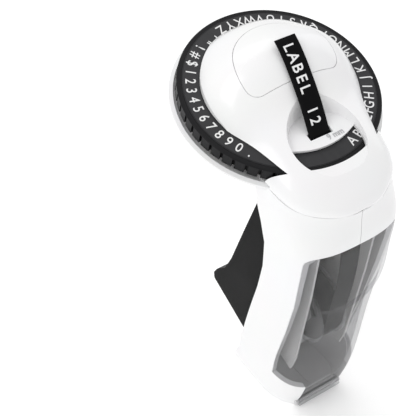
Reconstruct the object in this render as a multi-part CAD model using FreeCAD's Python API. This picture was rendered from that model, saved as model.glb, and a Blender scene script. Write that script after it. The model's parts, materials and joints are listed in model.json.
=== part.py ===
import FreeCAD
import Part
import math
import os

# Hand-held embossing label maker. Millimetres.
# It is drawn with its dial level: +X to the user's right, +Y forward and +Z up the
# dial's axis, with the origin at the centre of the dial's top face. The last step
# stands the tool on the flat foot of its handle, which tips the dial back.

# Driving dimensions
STAND_PITCH = 25.0
FOOT_CENTRE = (-60.53, -139.18)
WALL = 2.0
CHARACTERS = 49
DIAL_R = 38.0
DIAL_FACE_R = 36.05
DIAL_INNER_R = 28.03
DIAL_PLATE = 2.4
KNURL_HEIGHT = 5.0
CARRIER_R = 27.95
PAN_R = 40.1
SEAM_Z = -7.0
COVER_R = 29.7
WELL_R = 14.0
WELL_Y = -29.5
WELL_FLOOR = 0.45
WELL_FLARE = 0.4
TAPE_W = 9.0
TAPE_T = 0.25
STRIP_W = 8.6
STRIP_T = 0.4
TRIGGER_PIVOT = (-29.5, -21.0)
TRIGGER_TOP_HALF = 19.4
TRIGGER_FOOT_HALF = 17.0
PRESS_PIVOT = (-20.0, -9.0)
FEED_AXIS = (-42.7, -11.1)
PINCH_AXIS = (-45.7, -5.8)
ROLL_AXIS = (-51.2, -82.0)
ROLL_R = 16.3
DOOR_PIVOT = (-77.0, -127.5)
DOOR_WALL = 1.8
BAY_BOSSES = [(-53.0, -31.5), (-66.0, -102.0)]
CROSS_SCREWS = [(-47.5, -22.5), (-50.0, -135.0)]

V = FreeCAD.Vector

os.makedirs("parts", exist_ok=True)


def box(x0, x1, y0, y1, z0, z1):
    return Part.makeBox(x1 - x0, y1 - y0, z1 - z0, V(x0, y0, z0))


def disc(r, z0, z1, x=0.0, y=0.0):
    return Part.makeCylinder(r, z1 - z0, V(x, y, z0))


def ring(r_out, r_in, z0, z1):
    return disc(r_out, z0, z1).cut(disc(r_in, z0 - 1, z1 + 1))


def cross_rod(r, x0, x1, centre):
    return Part.makeCylinder(r, x1 - x0, V(x0, centre[0], centre[1]), V(1, 0, 0))


def cross_tube(r_out, r_in, x0, x1, centre):
    hole = cross_rod(r_in, x0 - 1, x1 + 1, centre)
    return cross_rod(r_out, x0, x1, centre).cut(hole)


def side_prism(points, x0, x1):
    """Closed outline in the YZ plane, pulled from x0 to x1."""
    corners = [V(x0, y, z) for y, z in points]
    face = Part.Face(Part.makePolygon(corners + corners[:1]))
    return face.extrude(V(x1 - x0, 0, 0))


def ribbon(points, width, thick):
    """A tape of even thickness along a smooth path in the YZ plane."""
    path = Part.BSplineCurve()
    path.interpolate([V(0, y, z) for y, z in points])
    first = path.FirstParameter
    last = path.LastParameter
    steps = 28
    upper = []
    lower = []
    for i in range(steps + 1):
        u = first + (last - first) * i / steps
        point = path.value(u)
        along = path.tangent(u)[0]
        normal = V(0, -along.z, along.y)
        upper.append(point + normal * (thick / 2) + V(-width / 2, 0, 0))
        lower.append(point - normal * (thick / 2) + V(-width / 2, 0, 0))
    top = Part.BSplineCurve()
    top.interpolate(upper)
    bottom = Part.BSplineCurve()
    bottom.interpolate(lower)
    edges = [
        top.toShape(),
        Part.makeLine(upper[-1], lower[-1]),
        bottom.toShape(),
        Part.makeLine(lower[0], upper[0]),
    ]
    face = Part.Face(Part.Wire(Part.__sortEdges__(edges)))
    return face.extrude(V(width, 0, 0))


# Cross-sections of the cover from front to rear: y, height of the crown and
# half-width at the seam, and how square the arch is.
COVER = [
    (34.0, -3.0, 9.0, 2.0), (29.0, 3.0, 17.5, 2.0), (20.0, 11.5, 25.6, 2.0),
    (10.0, 17.0, 30.4, 2.0), (3.0, 17.8, 31.9, 2.0), (-3.0, 15.7, 31.9, 2.0),
    (-9.0, 11.8, 31.1, 2.0), (-15.0, 7.9, 29.4, 2.05), (-22.0, 6.2, 26.8, 2.15),
    (-30.0, 4.9, 24.9, 2.2), (-37.0, 3.4, 23.8, 2.2), (-44.0, 0.9, 21.3, 2.1),
    (-48.5, -1.4, 17.3, 2.0), (-52.0, -3.8, 11.7, 2.0), (-54.2, -6.0, 4.0, 2.0),
]
# Level sections of the handle from the seam down: z, middle y, depth behind it,
# depth in front of it, half-width and how square the rear is.
GRIP = [
    (-7.0, -34.0, 20.5, 17.0, 24.5, 2.0), (-15.0, -38.0, 19.5, 20.0, 24.1, 2.5),
    (-25.0, -44.0, 16.6, 22.0, 23.5, 3.3), (-40.0, -46.5, 16.8, 22.0, 22.7, 3.8),
    (-56.0, -48.2, 18.2, 22.0, 22.2, 3.7), (-75.0, -50.0, 20.3, 23.0, 22.0, 3.4),
    (-100.0, -52.8, 24.0, 25.0, 21.5, 3.0), (-118.0, -54.3, 25.0, 25.0, 20.2, 2.8),
    (-135.0, -54.6, 25.0, 25.0, 18.0, 2.6), (-158.0, -54.0, 24.0, 25.0, 15.0, 2.5),
]


def squared(c, power):
    return math.copysign(abs(c) ** (2 / power), c)


def cover_form(inset):
    """The smooth outer form of the cover, set in by a distance."""
    wires = []
    for y, crown, half, power in COVER:
        height = max(crown - SEAM_Z - inset, 0.3)
        width = half - inset
        arch = []
        for i in range(17):
            t = math.pi * i / 16
            x = width * squared(math.cos(t), power)
            arch.append(V(x, y, SEAM_Z + height * squared(math.sin(t), power)))
        curve = Part.BSplineCurve()
        curve.interpolate(arch)
        base = Part.makeLine(arch[-1], arch[0])
        wires.append(Part.Wire([curve.toShape(), base]))
    return Part.makeLoft(wires, True, False, False, 3)


def grip_form(inset, bulge=0.0):
    """The smooth outer form of the handle, set in by a distance; its middle can swell."""
    wires = []
    for z, y, behind, ahead, half, power in GRIP:
        swell = math.exp(-((z + 62.0) / 19.0) ** 2)
        depth = inset - bulge * swell
        points = []
        for i in range(28):
            t = 2 * math.pi * i / 28
            n = power if math.sin(t) >= 0 else 6.0
            reach = behind - depth if math.sin(t) >= 0 else ahead
            x = squared(math.cos(t), n) * (half - depth)
            points.append(V(x, y - squared(math.sin(t), n) * reach, z))
        curve = Part.BSplineCurve()
        curve.interpolate(points, True)
        wires.append(Part.Wire([curve.toShape()]))
    return Part.makeLoft(wires, True, False, False, 3)


def cover_plan(inset):
    """The cover's outline seen from above: round in front, drawn in to the rear."""
    r = COVER_R - inset
    a = math.radians(11)
    tangent = V(r * math.cos(a), -r * math.sin(a), -20)
    front = Part.Arc(tangent, V(0, r, -20), V(-tangent.x, tangent.y, -20)).toShape()
    left = [
        V(-tangent.x, tangent.y, -20),
        V(-25.6 + inset, -30, -20),
        V(-26.5 + inset, -64, -20),
        V(26.5 - inset, -64, -20),
        V(25.6 - inset, -30, -20),
        tangent,
    ]
    wire = Part.Wire([front] + Part.makePolygon(left).Edges)
    return Part.Face(wire).extrude(V(0, 0, 60))


def plate_plan(grow, z0, z1):
    """Outline of the blank badge: a round front closed by a straight rear edge."""
    r = 19.6 + grow
    y = -7.2 - grow
    x = math.sqrt(r * r - y * y)
    arc = Part.Arc(V(x, y, z0), V(0, r, z0), V(-x, y, z0)).toShape()
    wire = Part.Wire([arc, Part.makeLine(V(-x, y, z0), V(x, y, z0))])
    prism = Part.Face(wire).extrude(V(0, 0, z1 - z0))
    corners = [e for e in prism.Edges if abs(e.Vertexes[0].Z - e.Vertexes[-1].Z) > 1]
    return prism.makeFillet(5.0 + grow, corners)


FRONT_LINE = [
    (-18.0, -7.1), (-21.5, -15.0), (-25.5, -22.0), (-32.0, -29.5), (-37.0, -38.0),
    (-40.0, -52.0), (-41.2, -68.0), (-41.8, -104.0), (-41.8, -129.0), (-38.0, -152.0),
]
DOOR_LINE = [
    (-55.2, -22.0), (-57.3, -34.0), (-60.2, -53.5), (-62.0, -74.0), (-63.2, -97.0),
    (-64.5, -110.0),
]


def handle_zone():
    """Everything behind the handle's front edge, under the cover and above the foot."""
    y0, z0 = FOOT_CENTRE
    a = math.radians(STAND_PITCH)
    behind = (y0 - 60 * math.cos(a), z0 + 60 * math.sin(a))
    ahead = (y0 + 24.8 * math.cos(a), z0 - 24.8 * math.sin(a))
    line = FRONT_LINE[:-1] + [ahead, behind, (-112, SEAM_Z - 0.25)]
    return side_prism(line, -45, 45)


def door_zone(grow):
    """The stretch of the handle's back that the clear door closes."""
    line = [(y + grow, z) for y, z in DOOR_LINE]
    line[0] = (line[0][0], line[0][1] + grow)
    line[-1] = (line[-1][0], line[-1][1] - grow)
    flank = side_prism(line + [(-100, -110 - grow), (-100, -22 + grow)], -40, 40)
    across = [e for e in flank.Edges if abs(e.Vertexes[0].X - e.Vertexes[-1].X) > 30]
    corners = [e for e in across if e.Vertexes[0].Point.distanceToPoint(
        V(e.Vertexes[0].X, line[0][0], line[0][1])) < 0.01]
    flank = flank.makeFillet(4.0 + grow, corners)
    low = DOOR_PIVOT[1] - 1.2 - grow
    tongue = box(-11 - grow, 11 + grow, -100, -66 + grow, low, -109)
    return flank.fuse(tongue)


def pan():
    """Shallow dish under the dial."""
    outline = [
        (0, -13.4), (26, -12.6), (36, -10.2), (PAN_R, -8.0), (PAN_R, -6.9),
        (38.6, -6.4), (38.6, -7.5), (35, -8.4), (26, -10.6), (0, -11.5),
    ]
    corners = [V(r, 0, z) for r, z in outline]
    face = Part.Face(Part.makePolygon(corners + corners[:1]))
    dish = face.revolve(V(0, 0, 0), V(0, 0, 1), 360)
    post = disc(4.0, -12.5, -2.0)
    bore = disc(1.35, -20, 0).fuse(disc(3.2, -20, -12.0))
    dish = dish.fuse(post).cut(bore)
    for x in (-8.0, 5.3):
        lug = box(x, x + 2.7, -22.6, -17.2, -12.0, -7.0)
        dish = dish.fuse(lug)
    opening = box(-12, 12, -48, -22.7, -20, 0)
    return dish.cut(opening).cut(cross_rod(1.05, -12, 12, PRESS_PIVOT))


def housing_shell(form, hollow):
    """Handle and pan in one form, before it is parted down the middle."""
    zone = handle_zone()
    skin = form.common(zone)
    front_wall = box(-40, 40, -43.8, 0, -170, -121)
    y0, z0 = FOOT_CENTRE
    floor = Part.makeBox(90, 90, 20, V(-45, -45, -20 + 2.6))
    floor.rotate(V(0, 0, 0), V(1, 0, 0), -STAND_PITCH)
    floor.translate(V(0, y0, z0))
    space = hollow.cut(front_wall).cut(floor)
    shell = skin.cut(space)
    for centre in CROSS_SCREWS:
        shell = shell.fuse(cross_rod(3.2, -22, 22, centre).common(skin))
    near = TRIGGER_TOP_HALF + 0.3
    for x0, x1 in ((-24.0, -near), (near, 24.0)):
        boss = cross_rod(3.4, x0, x1, TRIGGER_PIVOT)
        shell = shell.fuse(boss.common(form))
    for x0, x1 in ((-22.5, -9.6), (9.6, 22.5)):
        boss = cross_rod(2.0, x0, x1, (-45.5, -14.6))
        shell = shell.fuse(boss.common(form))
    for x0, x1 in ((-22.0, -13.7), (13.7, 22.0)):
        for centre in BAY_BOSSES:
            boss = cross_rod(1.8, x0, x1, centre)
            shell = shell.fuse(boss.common(form))
    for x0, x1 in ((-17.0, -11.3), (11.3, 17.0)):
        lug = cross_rod(3.4, x0, x1, DOOR_PIVOT)
        shell = shell.fuse(lug.common(form))
    shell = shell.cut(ring(CARRIER_R + 0.1, 24.4, -9.95, 5)).fuse(pan())
    shell = shell.cut(cross_rod(1.35, -18, 30, CROSS_SCREWS[0]))
    shell = shell.cut(cross_rod(1.35, -14, 30, CROSS_SCREWS[1]))
    shell = shell.cut(cross_rod(3.0, 19.0, 30, CROSS_SCREWS[0]))
    shell = shell.cut(cross_rod(3.0, 14.0, 30, CROSS_SCREWS[1]))
    shell = shell.cut(cross_rod(1.55, -19.8, 19.8, TRIGGER_PIVOT))
    shell = shell.cut(cross_rod(1.3, -12.1, 12.1, DOOR_PIVOT))
    shell = shell.cut(cross_rod(4.8, -11.3, 11.3, DOOR_PIVOT))
    return shell.cut(door_zone(0.2)).common(box(-60, 60, -100, 60, -180, SEAM_Z + 3))


def handle_half(shell, side):
    keep = box(0.1, 60, -120, 60, -180, 20)
    if side < 0:
        keep = box(-60, -0.1, -120, 60, -180, 20)
    return shell.common(keep)


def well(grow, z0):
    """Round recess that widens towards its rim."""
    r = WELL_R + grow + WELL_FLARE * (z0 - WELL_FLOOR - 1.1)
    height = 25.0
    return Part.makeCone(r, r + WELL_FLARE * height, height, V(0, WELL_Y, z0))


def top_cover(form, hollow, plan, badge_form):
    """Domed cover with the round well, its window over the dial and the tape slot."""
    above = box(-60, 60, -80, 60, SEAM_Z, 40)
    outside = form.common(plan).common(above)
    inside = hollow.common(cover_plan(WALL))
    shell = outside.cut(inside)
    shell = shell.fuse(well(1.4, WELL_FLOOR).common(outside))
    shell = shell.cut(well(0.0, WELL_FLOOR + 1.1))
    post = disc(4.0, -1.8, 17.0).common(outside)
    keep_out = disc(38.6, -30, 0.35).fuse(disc(PAN_R + 0.3, -30, -6.0))
    shell = shell.cut(keep_out).fuse(post)
    shell = shell.cut(disc(1.2, -10, 9.0))
    window = ring(38.2, 30.0, 0, 2.5).common(box(-30, 30, -60, -20, 0, 2.5))
    window = window.common(disc(WELL_R - 0.05, 0, 2.5, 0, WELL_Y))
    shell = shell.cut(window)
    shell = shell.cut(box(-4.9, 4.9, -26.0, -23.2, -1, 2.5))
    recess = outside.cut(badge_form).common(plate_plan(0.2, 5, 30))
    return shell.cut(recess)


def badge_plate(form, badge_form):
    return form.cut(badge_form).common(plate_plan(0.0, 5, 30))


def character_dial():
    """The lettered ring; its bore has a click notch for each character."""
    dial = ring(DIAL_FACE_R, DIAL_INNER_R, -DIAL_PLATE, 0)
    dial = dial.cut(ring(DIAL_FACE_R - 0.1, DIAL_FACE_R - 0.35, -0.12, 1))
    notches = []
    for i in range(CHARACTERS):
        a = 2 * math.pi * i / CHARACTERS
        r = DIAL_INNER_R + 0.1
        notches.append(disc(0.45, -2, -0.6, r * math.sin(a), r * math.cos(a)))
    return dial.cut(Part.makeCompound(notches))


def knurled_rim():
    """Finger grip round the dial, cut into one block for each character."""
    rim = ring(DIAL_R, DIAL_FACE_R + 0.05, -0.2 - KNURL_HEIGHT, -0.2)
    top = Part.makeCone(DIAL_R + 3.6, DIAL_R - 0.4, 4.0, V(0, 0, -4.2))
    rim = rim.common(top.fuse(disc(DIAL_R + 1, -8, -3.0)))
    cuts = []
    for i in range(CHARACTERS):
        groove = box(-0.55, 0.55, DIAL_R - 1.3, DIAL_R + 1, -6, -0.75)
        groove.rotate(V(0, 0, 0), V(0, 0, 1), 360.0 * (i + 0.5) / CHARACTERS)
        cuts.append(groove)
    return rim.cut(Part.makeCompound(cuts))


def punch_ring():
    """Ring of springy fingers under the dial, one punch on each."""
    plate = ring(DIAL_FACE_R, 28.6, -3.6, -2.45)
    slots = []
    punches = []
    for i in range(CHARACTERS):
        slot = box(-0.4, 0.4, 26, 34.6, -5, 0)
        slot.rotate(V(0, 0, 0), V(0, 0, 1), 360.0 * (i + 0.5) / CHARACTERS)
        slots.append(slot)
        punch = box(-1.1, 1.1, 30.6, 33.2, -4.3, -3.5)
        punch.rotate(V(0, 0, 0), V(0, 0, 1), 360.0 * i / CHARACTERS)
        punches.append(punch)
    plate = plate.cut(Part.makeCompound(slots))
    return plate.fuse(punches)


def dial_carrier():
    """Fixed ring the dial turns on, open at the rear where the tape passes."""
    carrier = ring(CARRIER_R, 24.5, -9.9, -0.3)
    carrier = carrier.cut(box(-10, 10, -40, 0, -20, 5))
    bore = Part.makeCylinder(1.05, 8, V(0, 22, -1.5), V(0, 1, 0))
    return carrier.cut(bore)


def detent_plunger():
    pin = Part.makeCylinder(1.0, 4.4, V(0, 22.1, -1.5), V(0, 1, 0))
    nose = Part.makeSphere(1.0, V(0, 26.5, -1.5))
    return pin.fuse(nose).common(box(-3, 3, 20, 27.4, -4, 0.5))


def detent_spring():
    """Flat spring behind the plunger, its ends caught on the carrier."""
    leaf = box(-11.0, 11.0, 21.5, 21.9, -3.0, -0.6)
    centre = box(-2.0, 2.0, 21.8, 22.05, -3.0, -0.6)
    return leaf.fuse(centre).common(disc(24.45, -5, 1))


def trigger():
    """Hollow finger lever with a flared toe and a hub round its pin."""
    outline = [
        (-32.2, -18.8), (-27.0, -18.6), (-25.0, -23.0), (-24.2, -30.0),
        (-21.6, -58.0), (-19.4, -84.0), (-17.4, -96.0), (-12.6, -105.5),
        (-11.4, -110.5), (-12.6, -114.0), (-38.5, -117.6), (-45.5, -118.0),
        (-44.0, -100.0), (-43.3, -68.0), (-40.0, -45.0), (-35.0, -28.0),
    ]
    skin = side_prism(outline, -20, 20)
    long_edges = [e for e in skin.Edges if abs(e.Vertexes[0].X - e.Vertexes[-1].X) > 30]
    toe = [e for e in long_edges if e.Vertexes[0].Y > -25.5]
    skin = skin.makeFillet(1.2, toe)
    t = TRIGGER_TOP_HALF
    f = TRIGGER_FOOT_HALF
    taper = [V(-t, -60, -15), V(t, -60, -15), V(f, -60, -119), V(-f, -60, -119)]
    wedge = Part.Face(Part.makePolygon(taper + taper[:1])).extrude(V(0, 60, 0))
    skin = skin.common(wedge)
    hollow = [(y - 2.4, z) for y, z in outline[3:9]]
    hollow = hollow + [(-14.5, -111.8), (-39.0, -114.8), (-60, -115), (-60, -26)]
    room = side_prism([(-30.5, -26.0)] + hollow, -20, 20)
    t = t - 2.2
    f = f - 2.2
    taper = [V(-t, -70, -15), V(t, -70, -15), V(f, -70, -119), V(-f, -70, -119)]
    wedge = Part.Face(Part.makePolygon(taper + taper[:1])).extrude(V(0, 70, 0))
    lever = skin.cut(room.common(wedge))
    lever = lever.cut(box(-17.2, 17.2, -60, 0, -25.9, -15))
    hub = cross_rod(3.4, -9.0, 9.0, TRIGGER_PIVOT)
    web = side_prism([(-31.5, -19), (-27.5, -19), (-25.5, -26.8), (-29.5, -26.8)], -9, 9)
    finger = [(-32.0, -22.0), (-36.0, -10.1), (-38.4, -10.1), (-38.4, -12.0), (-35.6, -20.0)]
    finger.append((-31.0, -24.0))
    lever = lever.fuse(hub).fuse(web).fuse(side_prism(finger, -4, 4))
    return lever.cut(cross_rod(1.56, -25, 25, TRIGGER_PIVOT))


def trigger_spring():
    """Return spring wound round the trigger's pin."""
    coil = Part.makeHelix(1.1, 5.5, 2.4)
    profile = Part.Wire([Part.makeCircle(0.4, V(2.4, 0, 0), V(0, 1, 0))])
    spring = Part.Wire(coil).makePipeShell([profile], True, True)
    spring.rotate(V(0, 0, 0), V(0, 1, 0), 90)
    spring.translate(V(10.2, TRIGGER_PIVOT[0], TRIGGER_PIVOT[1]))
    return spring


def side_plate(x0):
    """Steel plate that carries the rollers and the press lever's pin."""
    line = [
        (-48.6, -4.4), (-40.9, -4.4), (-40.9, -6.9), (-17.2, -6.9), (-17.2, -10.0),
        (-22.9, -10.4), (-23.6, -12.0), (-28.0, -13.3), (-36.0, -15.4), (-48.6, -17.2),
    ]
    plate = side_prism(line, x0, x0 + 1.2)
    for r, centre in ((1.02, PRESS_PIVOT), (1.02, FEED_AXIS), (0.82, PINCH_AXIS)):
        plate = plate.cut(cross_rod(r, -20, 20, centre))
    return plate


def press_lever():
    """Lever under the dial; its rear end lifts when the trigger is squeezed."""
    line = [(-18.0, -7.6), (-18.0, -10.3), (-22.0, -10.4), (-38.4, -9.8), (-38.4, -8.4)]
    line = line + [(-35.7, -8.4), (-35.7, -7.6)]
    lever = side_prism(line, -5.0, 5.0)
    return lever.cut(cross_rod(1.05, -9, 9, PRESS_PIVOT))


def anvil_pad():
    return box(-4.4, 4.4, -35.6, -31.4, -7.55, -7.0)


def cutter_blade():
    line = [(-29.6, -7.55), (-29.6, -6.3), (-29.0, -6.0), (-29.0, -7.55)]
    return side_prism(line, -4.8, 4.8)


def feed_roller():
    return cross_tube(3.2, 1.5, -4.6, 4.6, FEED_AXIS)


def feed_ratchet():
    """Toothed wheel and sleeve that turn the feed roller a step at a time."""
    wheel = cross_rod(3.0, 5.0, 6.4, FEED_AXIS)
    teeth = []
    for i in range(12):
        tooth = [V(5.0, -1.0, 2.5), V(5.0, 0.6, 2.9), V(5.0, 0.9, 3.9)]
        face = Part.Face(Part.makePolygon(tooth + tooth[:1]))
        solid = face.extrude(V(1.4, 0, 0))
        solid.rotate(V(5, 0, 0), V(1, 0, 0), 30.0 * i)
        solid.translate(V(0, FEED_AXIS[0], FEED_AXIS[1]))
        teeth.append(solid)
    wheel = wheel.fuse(teeth).fuse(cross_rod(1.46, -4.9, 5.2, FEED_AXIS))
    return wheel.cut(cross_rod(1.04, -9, 9, FEED_AXIS))


def pinch_roller():
    return cross_tube(2.0, 0.86, -4.6, 4.6, PINCH_AXIS)


def tape_roll():
    return cross_tube(ROLL_R, 8.03, -TAPE_W / 2, TAPE_W / 2, ROLL_AXIS)


def roll_core():
    """Hub of the tape roll, with six light spokes between two sleeves."""
    core = cross_tube(8.0, 6.8, -4.6, 4.6, ROLL_AXIS)
    core = core.fuse(cross_tube(5.4, 4.08, -4.6, 4.6, ROLL_AXIS))
    for i in range(6):
        spoke = box(-4.0, 4.0, 5.0, 7.2, -0.6, 0.6)
        spoke.rotate(V(0, 0, 0), V(1, 0, 0), 60.0 * i)
        spoke.translate(V(0, ROLL_AXIS[0], ROLL_AXIS[1]))
        core = core.fuse(spoke)
    return core


def cassette_side(side):
    """Clear cheek of the tape cassette, with its half of the spool pin."""
    x0 = 5.0 if side > 0 else -6.1
    cheek = cross_rod(17.3, x0, x0 + 1.1, ROLL_AXIS)
    cheek = cheek.cut(cross_rod(2.2, -10, 10, ROLL_AXIS))
    for i in range(4):
        slot = box(x0 - 1, x0 + 3, 10.2, 14.2, -2.2, 2.2)
        slot.rotate(V(0, 0, 0), V(1, 0, 0), 45 + 90.0 * i)
        slot.translate(V(0, ROLL_AXIS[0], ROLL_AXIS[1]))
        cheek = cheek.cut(slot)
    pin = cross_tube(4.0, 2.2, 0.02, 5.1, ROLL_AXIS)
    arm = cross_tube(4.0, 2.2, 6.0, 12.5, ROLL_AXIS)
    if side < 0:
        pin = cross_tube(4.0, 2.2, -5.1, -0.02, ROLL_AXIS)
        arm = cross_tube(4.0, 2.2, -12.5, -6.0, ROLL_AXIS)
    return cheek.fuse(pin).fuse(arm)


def cassette_bay():
    """White liner that holds the cassette between its cheeks."""
    line = [
        (-35.6, -28.0), (-55.4, -28.0), (-60.2, -52.0), (-64.0, -76.0), (-67.5, -98.0),
        (-67.5, -107.5), (-41.0, -107.5), (-36.0, -63.0),
    ]
    block = side_prism(line, -13.6, 13.6)
    inner = [(-36.6, -27.0), (-90, -27.0), (-90, -110), (-20, -110), (-20, -62.0), (-36.6, -62.0)]
    return block.cut(side_prism(inner, -12.6, 12.6))


def tape_web():
    """Tape drawn off the roll, up behind the door, over the feed roller to the slot."""
    line = [
        (-67.73, -79.3), (-66.4, -71.0), (-65.0, -62.5), (-63.5, -53.0), (-61.6, -43.5),
        (-58.8, -33.0), (-54.8, -22.5), (-49.8, -13.6), (-44.5, -7.9), (-40.2, -5.95),
        (-36.0, -5.5), (-31.0, -5.1), (-28.2, -3.9), (-26.3, -1.3),
    ]
    return ribbon(line, TAPE_W, TAPE_T)


def label_strip():
    """Finished strip standing out of the slot and leaning over the dome."""
    line = [
        (-26.1, -0.7), (-23.8, 1.6), (-20.9, 4.3), (-16.5, 8.1), (-12.7, 10.9),
        (-8.0, 14.0), (-2.0, 17.6), (5.3, 20.6),
    ]
    return ribbon(line, STRIP_W, STRIP_T)


def door(form, skin, ledge_form):
    """Clear smoke door over the cassette, with a thumb ledge and its hinge barrel."""
    zone = door_zone(0.0)
    panel = form.cut(skin).common(zone)
    rim = Part.Arc(V(-19.5, -95, -39.0), V(0, -95, -58.5), V(19.5, -95, -39.0)).toShape()
    top = Part.makePolygon([V(19.5, -95, -39.0), V(19.5, -95, -20), V(-19.5, -95, -20), V(-19.5, -95, -39.0)])
    above = Part.Face(Part.Wire([rim] + top.Edges)).extrude(V(0, 60, 0))
    panel = panel.fuse(ledge_form.cut(skin).common(zone).common(above))
    panel = panel.cut(cross_rod(3.0, -11.2, 11.2, DOOR_PIVOT))
    barrel = cross_tube(2.6, 1.26, -10.8, 10.8, DOOR_PIVOT)
    arm = [(-76.4, -125.4), (-80.4, -128.2), (-80.4, -118.0), (-77.4, -118.0)]
    leaf = side_prism(arm, -10.8, 10.8).common(form).cut(cross_rod(1.3, -12, 12, DOOR_PIVOT))
    return panel.fuse(barrel).fuse(leaf)


def rod_pin(r, half, centre):
    return cross_rod(r, -half, half, centre)


def cross_screws():
    shapes = []
    for x_end, x_head, centre in ((-17.0, 19.1, CROSS_SCREWS[0]), (-13.0, 14.1, CROSS_SCREWS[1])):
        shank = cross_rod(1.25, x_end, x_head, centre)
        head = cross_rod(2.7, x_head, x_head + 1.6, centre)
        slot = box(x_head + 0.9, x_head + 3, centre[0] - 2.0, centre[0] + 2.0, -0.35, 0.35)
        slot.translate(V(0, 0, centre[1]))
        shapes.append(shank.fuse(head).cut(slot))
    return Part.makeCompound(shapes)


def centre_screw():
    screw = disc(1.18, -12.1, 8.0).fuse(disc(3.0, -13.4, -12.0))
    return screw.cut(box(-2.2, 2.2, -0.35, 0.35, -14, -12.8))


def stand(shape):
    """Tip the tool back so that its foot lies flat, centred on the origin."""
    y, z = FOOT_CENTRE
    placed = shape.copy()
    placed.rotate(V(0, 0, 0), V(1, 0, 0), STAND_PITCH)
    a = math.radians(STAND_PITCH)
    foot_y = y * math.cos(a) - z * math.sin(a)
    foot_z = y * math.sin(a) + z * math.cos(a)
    placed.translate(V(0, -foot_y, -foot_z))
    return placed


def build():
    grip = grip_form(0.0)
    shell = housing_shell(grip, grip_form(WALL))
    cover = cover_form(0.0)
    badge_form = cover_form(0.7)
    nodes = {
        "left_handle_shell": handle_half(shell, -1),
        "right_handle_shell": handle_half(shell, 1),
        "top_cover": top_cover(cover, cover_form(WALL), cover_plan(0.0), badge_form),
        "badge_plate": badge_plate(cover, badge_form),
        "character_dial": character_dial(),
        "knurled_rim": knurled_rim(),
        "punch_ring": punch_ring(),
        "dial_carrier": dial_carrier(),
        "detent_plunger": detent_plunger(),
        "detent_spring": detent_spring(),
        "trigger": trigger(),
        "trigger_pin": rod_pin(1.5, 19.6, TRIGGER_PIVOT),
        "trigger_spring": trigger_spring(),
        "left_side_plate": side_plate(-9.4),
        "right_side_plate": side_plate(8.2),
        "press_lever": press_lever(),
        "press_pin": rod_pin(1.0, 9.7, PRESS_PIVOT),
        "anvil_pad": anvil_pad(),
        "cutter_blade": cutter_blade(),
        "feed_roller": feed_roller(),
        "feed_ratchet": feed_ratchet(),
        "feed_axle": rod_pin(1.0, 9.7, FEED_AXIS),
        "pinch_roller": pinch_roller(),
        "pinch_axle": rod_pin(0.8, 9.7, PINCH_AXIS),
        "tape_roll": tape_roll(),
        "roll_core": roll_core(),
        "cassette_left_side": cassette_side(-1),
        "cassette_right_side": cassette_side(1),
        "cassette_bay": cassette_bay(),
        "tape_web": tape_web(),
        "label_strip": label_strip(),
        "door": door(grip, grip_form(DOOR_WALL), grip_form(0.0, 1.9)),
        "door_hinge_pin": rod_pin(1.2, 12.0, DOOR_PIVOT),
        "cross_screws": cross_screws(),
        "centre_screw": centre_screw(),
    }
    for name, shape in nodes.items():
        placed = stand(shape)
        box_mm = placed.BoundBox
        print(name, len(placed.Solids), placed.isValid(), round(placed.Volume), box_mm)
        placed.exportStep("parts/" + name + ".step")


build()
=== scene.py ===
import bpy
import json
import math
from mathutils import Matrix, Vector


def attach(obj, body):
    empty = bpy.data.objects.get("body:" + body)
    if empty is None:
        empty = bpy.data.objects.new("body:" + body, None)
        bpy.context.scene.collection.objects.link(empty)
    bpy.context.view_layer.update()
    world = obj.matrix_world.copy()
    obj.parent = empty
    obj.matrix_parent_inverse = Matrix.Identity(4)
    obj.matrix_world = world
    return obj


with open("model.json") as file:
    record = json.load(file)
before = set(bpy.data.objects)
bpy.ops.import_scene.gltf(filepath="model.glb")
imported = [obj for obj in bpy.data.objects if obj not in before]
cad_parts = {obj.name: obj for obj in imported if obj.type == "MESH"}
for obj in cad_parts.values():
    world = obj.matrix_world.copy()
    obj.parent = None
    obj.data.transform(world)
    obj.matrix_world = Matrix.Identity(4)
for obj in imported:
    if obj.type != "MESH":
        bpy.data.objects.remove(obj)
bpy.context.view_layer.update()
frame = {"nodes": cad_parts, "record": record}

# The label maker's own frame: origin at the centre of the dial's face, Z along the dial's axis.
MM = 0.001
PITCH = math.radians(25.0)
DIAL_CENTRE = (0, -3.96 * MM, 151.72 * MM)
TOOL = Matrix.Translation(DIAL_CENTRE) @ Matrix.Rotation(PITCH, 4, "X")
CREASE = math.radians(28)
DIAL_LETTER_R = 34.75
DIAL_PITCH = 7.35
FIRST_LETTER = 127.4
HIDDEN_PITCH = 5.1
STRIP_LETTER_PITCH = 3.85
FLOOR_HALF = 4.0
FLOOR_DROP = 0.00005


# ---------- materials ----------

def new_material(name):
    m = bpy.data.materials.new(name)
    m.use_nodes = True
    return m, m.node_tree.nodes, m.node_tree.links, m.node_tree.nodes["Principled BSDF"]


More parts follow.
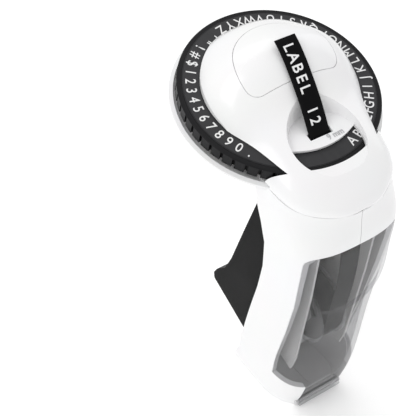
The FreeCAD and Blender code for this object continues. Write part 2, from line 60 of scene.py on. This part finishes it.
def plastic(name, colour, rough, grain=900.0, bump=0.02, spread=0.06, wear=0.08, coat=0.0, shine=0.5):
    """Moulded plastic: cloudy roughness, a fine moulded texture and paler edges."""
    m, nodes, links, bsdf = new_material(name)
    bsdf.inputs["Metallic"].default_value = 0.0
    bsdf.inputs["IOR"].default_value = 1.48
    bsdf.inputs["Specular IOR Level"].default_value = shine
    bsdf.inputs["Coat Weight"].default_value = coat
    bsdf.inputs["Coat Roughness"].default_value = 0.08
    place = nodes.new("ShaderNodeTexCoord")
    cloud = nodes.new("ShaderNodeTexNoise")
    cloud.inputs["Scale"].default_value = 45.0
    cloud.inputs["Detail"].default_value = 6.0
    links.new(place.outputs["Object"], cloud.inputs["Vector"])
    ramp = nodes.new("ShaderNodeMapRange")
    ramp.inputs["To Min"].default_value = max(rough - spread, 0.03)
    ramp.inputs["To Max"].default_value = rough + spread
    links.new(cloud.outputs["Fac"], ramp.inputs["Value"])
    links.new(ramp.outputs["Result"], bsdf.inputs["Roughness"])
    fine = nodes.new("ShaderNodeTexNoise")
    fine.inputs["Scale"].default_value = grain
    fine.inputs["Detail"].default_value = 4.0
    links.new(place.outputs["Object"], fine.inputs["Vector"])
    relief = nodes.new("ShaderNodeBump")
    relief.inputs["Strength"].default_value = bump
    relief.inputs["Distance"].default_value = 0.0002
    links.new(fine.outputs["Fac"], relief.inputs["Height"])
    links.new(relief.outputs["Normal"], bsdf.inputs["Normal"])
    geo = nodes.new("ShaderNodeNewGeometry")
    edge = nodes.new("ShaderNodeMapRange")
    edge.inputs["From Min"].default_value = 0.5
    edge.inputs["From Max"].default_value = 0.62
    links.new(geo.outputs["Pointiness"], edge.inputs["Value"])
    amount = nodes.new("ShaderNodeMath")
    amount.operation = "MULTIPLY"
    amount.inputs[1].default_value = wear
    links.new(edge.outputs["Result"], amount.inputs[0])
    tint = nodes.new("ShaderNodeMix")
    tint.data_type = "RGBA"
    tint.inputs[6].default_value = (*colour, 1)
    far = tuple(min(1.0, c * 1.3 + 0.03) for c in colour)
    tint.inputs[7].default_value = (*far, 1)
    links.new(amount.outputs["Value"], tint.inputs["Factor"])
    shade = nodes.new("ShaderNodeMix")
    shade.data_type = "RGBA"
    shade.blend_type = "MULTIPLY"
    shade.inputs["Factor"].default_value = 0.04
    links.new(tint.outputs[2], shade.inputs[6])
    links.new(cloud.outputs["Color"], shade.inputs[7])
    links.new(shade.outputs[2], bsdf.inputs["Base Color"])
    return m


def metal(name, colour, rough, stretch=(1, 1, 1)):
    """Plated or ground steel with fine drawn lines."""
    m, nodes, links, bsdf = new_material(name)
    bsdf.inputs["Metallic"].default_value = 1.0
    place = nodes.new("ShaderNodeTexCoord")
    scale = nodes.new("ShaderNodeMapping")
    scale.inputs["Scale"].default_value = stretch
    lines = nodes.new("ShaderNodeTexNoise")
    lines.inputs["Scale"].default_value = 1500.0
    links.new(place.outputs["Object"], scale.inputs["Vector"])
    links.new(scale.outputs["Vector"], lines.inputs["Vector"])
    ramp = nodes.new("ShaderNodeMapRange")
    ramp.inputs["To Min"].default_value = rough - 0.1
    ramp.inputs["To Max"].default_value = rough + 0.1
    links.new(lines.outputs["Fac"], ramp.inputs["Value"])
    links.new(ramp.outputs["Result"], bsdf.inputs["Roughness"])
    relief = nodes.new("ShaderNodeBump")
    relief.inputs["Strength"].default_value = 0.08
    relief.inputs["Distance"].default_value = 0.0001
    links.new(lines.outputs["Fac"], relief.inputs["Height"])
    links.new(relief.outputs["Normal"], bsdf.inputs["Normal"])
    mix = nodes.new("ShaderNodeMix")
    mix.data_type = "RGBA"
    mix.inputs[6].default_value = (*[c * 0.8 for c in colour], 1)
    mix.inputs[7].default_value = (*colour, 1)
    links.new(lines.outputs["Fac"], mix.inputs["Factor"])
    links.new(mix.outputs[2], bsdf.inputs["Base Color"])
    return m


def clear(name, colour, body, rough):
    """Clear plastic: see-through face on, shining and paler towards its edges, faintly rippled."""
    m, nodes, links, bsdf = new_material(name)
    bsdf.inputs["Base Color"].default_value = (*body, 1)
    place = nodes.new("ShaderNodeTexCoord")
    cloud = nodes.new("ShaderNodeTexNoise")
    cloud.inputs["Scale"].default_value = 60.0
    cloud.inputs["Detail"].default_value = 5.0
    links.new(place.outputs["Object"], cloud.inputs["Vector"])
    ramp = nodes.new("ShaderNodeMapRange")
    ramp.inputs["To Min"].default_value = rough
    ramp.inputs["To Max"].default_value = rough + 0.06
    links.new(cloud.outputs["Fac"], ramp.inputs["Value"])
    links.new(ramp.outputs["Result"], bsdf.inputs["Roughness"])
    relief = nodes.new("ShaderNodeBump")
    relief.inputs["Strength"].default_value = 0.05
    relief.inputs["Distance"].default_value = 0.0004
    links.new(cloud.outputs["Fac"], relief.inputs["Height"])
    links.new(relief.outputs["Normal"], bsdf.inputs["Normal"])
    through = nodes.new("ShaderNodeBsdfTransparent")
    through.inputs["Color"].default_value = (*colour, 1)
    rim = nodes.new("ShaderNodeLayerWeight")
    rim.inputs["Blend"].default_value = 0.22
    solid = nodes.new("ShaderNodeMapRange")
    solid.inputs["To Min"].default_value = 0.03
    solid.inputs["To Max"].default_value = 0.5
    links.new(rim.outputs["Facing"], solid.inputs["Value"])
    blend = nodes.new("ShaderNodeMixShader")
    links.new(solid.outputs["Result"], blend.inputs["Fac"])
    links.new(through.outputs["BSDF"], blend.inputs[1])
    links.new(bsdf.outputs["BSDF"], blend.inputs[2])
    links.new(blend.outputs["Shader"], nodes["Material Output"].inputs["Surface"])
    return m


MATERIALS = {
    "white_shell": plastic("white_shell_look", (0.9, 0.9, 0.905), 0.3, 700, 0.02, 0.05, 0.1, 0.15),
    "white_cover": plastic("white_cover_look", (0.92, 0.92, 0.925), 0.22, 700, 0.012, 0.05, 0.1, 0.3),
    "white_badge": plastic("white_badge_look", (0.92, 0.92, 0.925), 0.26, 700, 0.012, 0.05, 0.1, 0.3),
    "white_inner": plastic("white_inner_look", (0.8, 0.8, 0.79), 0.45, 900, 0.05, 0.08, 0.1),
    "dial_grey": plastic("dial_grey_look", (0.03, 0.03, 0.032), 0.42, 2200, 0.12, 0.06, 0.3, 0, 0.2),
    "knurl_black": plastic("knurl_black_look", (0.008, 0.008, 0.009), 0.36, 2400, 0.15, 0.08, 0.25, 0, 0.1),
    "punch_black": plastic("punch_black_look", (0.02, 0.02, 0.021), 0.5, 1800, 0.1, 0.06, 0.3, 0, 0.25),
    "trigger_black": plastic(
        "trigger_black_look", (0.003, 0.003, 0.0033), 0.45, 2600, 0.2, 0.07, 0.12, 0, 0.03
    ),
    "steel": metal("steel_look", (0.62, 0.62, 0.63), 0.3, (1, 1, 8)),
    "spring_steel": metal("spring_steel_look", (0.5, 0.5, 0.52), 0.25),
    "blade_steel": metal("blade_steel_look", (0.72, 0.72, 0.74), 0.2, (8, 1, 1)),
    "pad_rubber": plastic("pad_rubber_look", (0.09, 0.05, 0.04), 0.7, 1500, 0.3, 0.05, 0.2),
    "roller_rubber": plastic("roller_rubber_look", (0.045, 0.045, 0.045), 0.75, 1500, 0.4, 0.05, 0.2),
    "tape_black": plastic("tape_black_look", (0.003, 0.003, 0.0034), 0.16, 1300, 0.03, 0.05, 0.1, 0.0, 0.08),
    "clear_cassette": clear("clear_cassette_look", (0.95, 0.955, 0.96), (0.8, 0.8, 0.8), 0.06),
    "smoke_door": clear("smoke_door_look", (0.93, 0.93, 0.935), (0.2, 0.2, 0.2), 0.05),
}
INK = plastic("character_ink", (0.86, 0.86, 0.86), 0.4, 2600, 0.1, 0.06, 0.05)
STRESS = plastic("stretched_tape_white", (0.9, 0.9, 0.9), 0.5, 3500, 0.3, 0.08, 0.05)
SIZE_MARK = plastic("size_mark_grey", (0.5, 0.5, 0.51), 0.35, 1200, 0.05, 0.05, 0.05)

node_slot = {row["node"]: row["material_slot"] for row in frame["record"]["subparts"]}
for node, obj in frame["nodes"].items():
    obj.data.materials.clear()
    obj.data.materials.append(MATERIALS[node_slot[node]])
    for poly in obj.data.polygons:
        poly.material_index = 0
        poly.use_smooth = True
    split = obj.modifiers.new("crease", "EDGE_SPLIT")
    split.split_angle = CREASE


# ---------- lettering ----------

def glyph_mesh(text, size, raised, squeeze=1.0, bold=0.0):
    """One character as a raised solid, centred on its own width."""
    curve = bpy.data.curves.new("glyph", "FONT")
    curve.body = text
    curve.size = size
    curve.extrude = raised / 2
    curve.offset = bold
    curve.bevel_depth = raised * 0.12
    curve.resolution_u = 6
    curve.align_x = "CENTER"
    obj = bpy.data.objects.new("glyph", curve)
    bpy.context.collection.objects.link(obj)
    bpy.context.view_layer.update()
    graph = bpy.context.evaluated_depsgraph_get()
    mesh = bpy.data.meshes.new_from_object(obj.evaluated_get(graph))
    bpy.data.objects.remove(obj)
    mesh.transform(Matrix.Diagonal((squeeze, 1, 1, 1)))
    return mesh


def lettering(name, placed, material, body):
    """Several glyphs, each with its own place, as one mesh."""
    verts = []
    faces = []
    for mesh, matrix in placed:
        base = len(verts)
        verts.extend((matrix @ v.co)[:] for v in mesh.vertices)
        faces.extend([base + i for i in p.vertices] for p in mesh.polygons)
    data = bpy.data.meshes.new(name)
    data.from_pydata(verts, [], faces)
    data.materials.append(material)
    obj = bpy.data.objects.new(name, data)
    bpy.context.collection.objects.link(obj)
    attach(obj, body)
    return obj


def turned(right, up, place):
    """A placing matrix from a glyph's right and up directions, in the dial's frame."""
    out = right.cross(up)
    m = Matrix((right, up, out)).transposed().to_4x4()
    m.translation = place
    return TOOL @ m


ROUND = ".0987654321$#!\"'ZYXWVUTSRQPONMLKJIHG"
placed = []


def on_dial(char, degrees):
    a = math.radians(degrees)
    outward = Vector((-math.sin(a), math.cos(a), 0))
    up = -outward
    right = up.cross(Vector((0, 0, 1)))
    mesh = glyph_mesh(char, 5.5 * MM, 0.16 * MM, 0.88, 0.0)
    placed.append((mesh, turned(right, up, outward * DIAL_LETTER_R * MM + Vector((0, 0, 0.05 * MM)))))


for k, char in enumerate(ROUND):
    on_dial(char, FIRST_LETTER - DIAL_PITCH * k)
for k, char in enumerate("FEDC"):
    on_dial(char, -129.85 - HIDDEN_PITCH * (k + 1))
on_dial("B", -155.4)
on_dial("A", -162.8)
lettering("dial_characters", placed, INK, "dial")

STRIP = [
    (-26.1, -0.7), (-23.8, 1.6), (-20.9, 4.3), (-16.5, 8.1), (-12.7, 10.9),
    (-8.0, 14.0), (-2.0, 17.6), (5.3, 20.6),
]


def along_strip(distance):
    """Point and direction at a distance in millimetres from the strip's free end."""
    points = [Vector((0, y, z)) for y, z in reversed(STRIP)]
    for a, b in zip(points, points[1:]):
        step = (b - a).length
        if distance <= step:
            return a.lerp(b, distance / step), (b - a).normalized()
        distance -= step
    return points[-1], (points[-1] - points[-2]).normalized()


placed = []
for k, char in enumerate("LABEL 12"):
    if char == " ":
        continue
    where = along_strip(3.9 + STRIP_LETTER_PITCH * k)[0]
    before = along_strip(2.4 + STRIP_LETTER_PITCH * k)[1]
    after = along_strip(5.4 + STRIP_LETTER_PITCH * k)[1]
    along = (before + after).normalized()
    up = Vector((1, 0, 0))
    out = along.cross(up)
    mesh = glyph_mesh(char, 6.0 * MM, 0.3 * MM, 0.9, 0.03 * MM)
    base = where - up * 2.25 + out * 0.28
    placed.append((mesh, turned(along, up, base * MM)))
lettering("strip_characters", placed, STRESS, "housing")

mesh = glyph_mesh("9 mm", 3.4 * MM, 0.2 * MM, 0.9, 0.0)
mark_right = Vector((0.97, 0.05, 0)).normalized()
mark_up = Vector((-0.05, 0.97, 0)).normalized()
mark = turned(mark_right, mark_up, Vector((4.9, -28.35, 1.65)) * MM)
lettering("size_mark", [(mesh, mark)], SIZE_MARK, "housing")


# ---------- stage ----------

def stage_material():
    m, nodes, links, bsdf = new_material("pale_floor")
    noise = nodes.new("ShaderNodeTexNoise")
    noise.inputs["Scale"].default_value = 6.0
    mix = nodes.new("ShaderNodeMix")
    mix.data_type = "RGBA"
    mix.inputs[6].default_value = (0.97, 0.97, 0.97, 1)
    mix.inputs[7].default_value = (0.985, 0.985, 0.985, 1)
    links.new(noise.outputs["Fac"], mix.inputs["Factor"])
    links.new(mix.outputs[2], bsdf.inputs["Base Color"])
    bsdf.inputs["Roughness"].default_value = 0.9
    bsdf.inputs["Emission Color"].default_value = (1, 1, 1, 1)
    bsdf.inputs["Emission Strength"].default_value = 0.16
    return m


floor_mesh = bpy.data.meshes.new("floor")
corners = [(x * FLOOR_HALF, y * FLOOR_HALF, 0) for x, y in ((-1, -1), (1, -1), (1, 1), (-1, 1))]
floor_mesh.from_pydata(corners, [], [(0, 1, 2, 3)])
floor_mesh.materials.append(stage_material())
floor = bpy.data.objects.new("floor", floor_mesh)
floor.location.z = -FLOOR_DROP
bpy.context.collection.objects.link(floor)


def area_light(name, place, aim, size, power, tall=None):
    light = bpy.data.lights.new(name, "AREA")
    light.shape = "RECTANGLE"
    light.size = size
    light.size_y = tall or size
    light.energy = power
    obj = bpy.data.objects.new(name, light)
    obj.location = place
    direction = Vector(aim) - Vector(place)
    obj.rotation_euler = direction.to_track_quat("-Z", "Y").to_euler()
    bpy.context.collection.objects.link(obj)
    return obj


area_light("key", (-0.55, -0.1, 0.7), (0, 0, 0.1), 0.45, 1.5)
area_light("top", (0.1, 0.35, 0.9), (0, 0, 0.1), 0.6, 1.2)
area_light("back", (0.6, 0.1, 0.4), (0, 0, 0.1), 0.4, 0.3)

world = bpy.data.worlds.new("studio")
world.use_nodes = True
world.node_tree.nodes["Background"].inputs["Color"].default_value = (1, 1, 1, 1)
world.node_tree.nodes["Background"].inputs["Strength"].default_value = 0.76
bpy.context.scene.world = world
bpy.context.scene.view_settings.view_transform = "Standard"
bpy.context.scene.view_settings.exposure = 0.0

# ---------- camera ----------

lens = bpy.data.cameras.new("camera")
lens.sensor_width = 36.0
lens.lens = 77.88
lens.clip_start = 0.01
camera = bpy.data.objects.new("camera", lens)
bpy.context.collection.objects.link(camera)
right = Vector((0.846, -0.5157, 0.1353))
up = Vector((0.3807, 0.7621, 0.5237))
back = Vector((-0.3732, -0.3915, 0.8411))
aim = Matrix((right, up, back)).transposed().to_4x4()
aim.translation = Vector((-160.8, -147.8, 247.7)) * MM
camera.matrix_world = TOOL @ aim
bpy.context.scene.camera = camera
